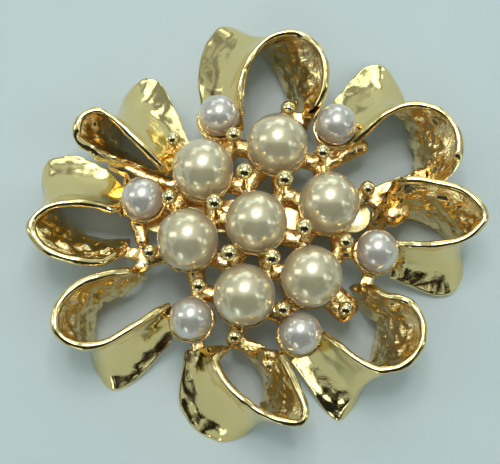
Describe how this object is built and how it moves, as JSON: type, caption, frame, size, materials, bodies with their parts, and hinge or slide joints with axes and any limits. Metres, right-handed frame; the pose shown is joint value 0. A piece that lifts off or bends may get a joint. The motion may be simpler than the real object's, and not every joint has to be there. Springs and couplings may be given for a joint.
{
  "type": "brooch",
  "caption": "Domed brooch: a wreath of cast ribbon loops round a cluster of imitation pearls and ball-tipped posts, with a hinged bar pin and roll-over catch behind.",
  "frame": {"origin": "under the middle of the wreath, on the surface that the brooch lies on", "axes": "+Z out of the brooch's face, +Y up as it is worn, +X to the wearer's left, which is right in a front view"},
  "size_m": [0.0524, 0.0508, 0.0135],
  "materials": {
    "ribbon_gold": "pale gold plate, polished outside, rough as cast inside",
    "frame_gold": "gold plate, as cast",
    "bead_gold": "gold plate, polished",
    "pin_gold": "gold plate, satin",
    "large_pearl": "cream pearl lacquer on a glass bead",
    "small_pearl": "silver-white pearl lacquer on a glass bead"
  },
  "bodies": {
    "brooch": {"openwork_frame": "frame_gold", "ribbon_loop_north": "ribbon_gold", "ribbon_loop_north_east": "ribbon_gold", "ribbon_loop_east": "ribbon_gold", "ribbon_loop_south_east": "ribbon_gold", "ribbon_loop_south": "ribbon_gold", "ribbon_loop_south_west": "ribbon_gold", "ribbon_loop_west": "ribbon_gold", "ribbon_loop_north_west": "ribbon_gold", "centre_pearl": "large_pearl", "ring_pearl_north_west": "large_pearl", "ring_pearl_north": "large_pearl", "ring_pearl_east": "large_pearl", "ring_pearl_south_east": "large_pearl", "ring_pearl_south": "large_pearl", "ring_pearl_west": "large_pearl", "edge_pearl_north": "small_pearl", "edge_pearl_north_east": "small_pearl", "edge_pearl_east": "small_pearl", "edge_pearl_south_east": "small_pearl", "edge_pearl_south_west": "small_pearl", "edge_pearl_west": "small_pearl", "crown_bead_north": "bead_gold", "crown_bead_north_east": "bead_gold", "crown_bead_east": "bead_gold", "crown_bead_south": "bead_gold", "crown_bead_south_west": "bead_gold", "crown_bead_west": "bead_gold", "pocket_bead_north": "bead_gold", "pocket_bead_north_east": "bead_gold", "pocket_bead_east": "bead_gold", "pocket_bead_south_east": "bead_gold", "pocket_bead_south_west": "bead_gold", "pocket_bead_west": "bead_gold", "rim_bead_north_west": "bead_gold", "rim_bead_north": "bead_gold", "rim_bead_east": "bead_gold", "rim_bead_south_east": "bead_gold", "rim_bead_south": "bead_gold", "rim_bead_west": "bead_gold", "pin_bar": "pin_gold", "hinge_bracket": "pin_gold", "hinge_rivet": "pin_gold", "catch_barrel": "pin_gold"},
    "stem": {"pin_stem": "pin_gold"},
    "collar": {"catch_collar": "pin_gold"}
  },
  "joints": [
    {"name": "stem_hinge", "type": "hinge", "parent": "brooch", "child": "stem", "pos_m": [-0.0115, 0.00047, 0.00175], "axis": [0, 1, 0], "range_deg": [0, 100]},
    {"name": "collar_turn", "type": "hinge", "parent": "brooch", "child": "collar", "pos_m": [0.01102, 0.00047, 0.00175], "axis": [-1, 0, 0], "range_deg": [0, 140]}
  ]
}
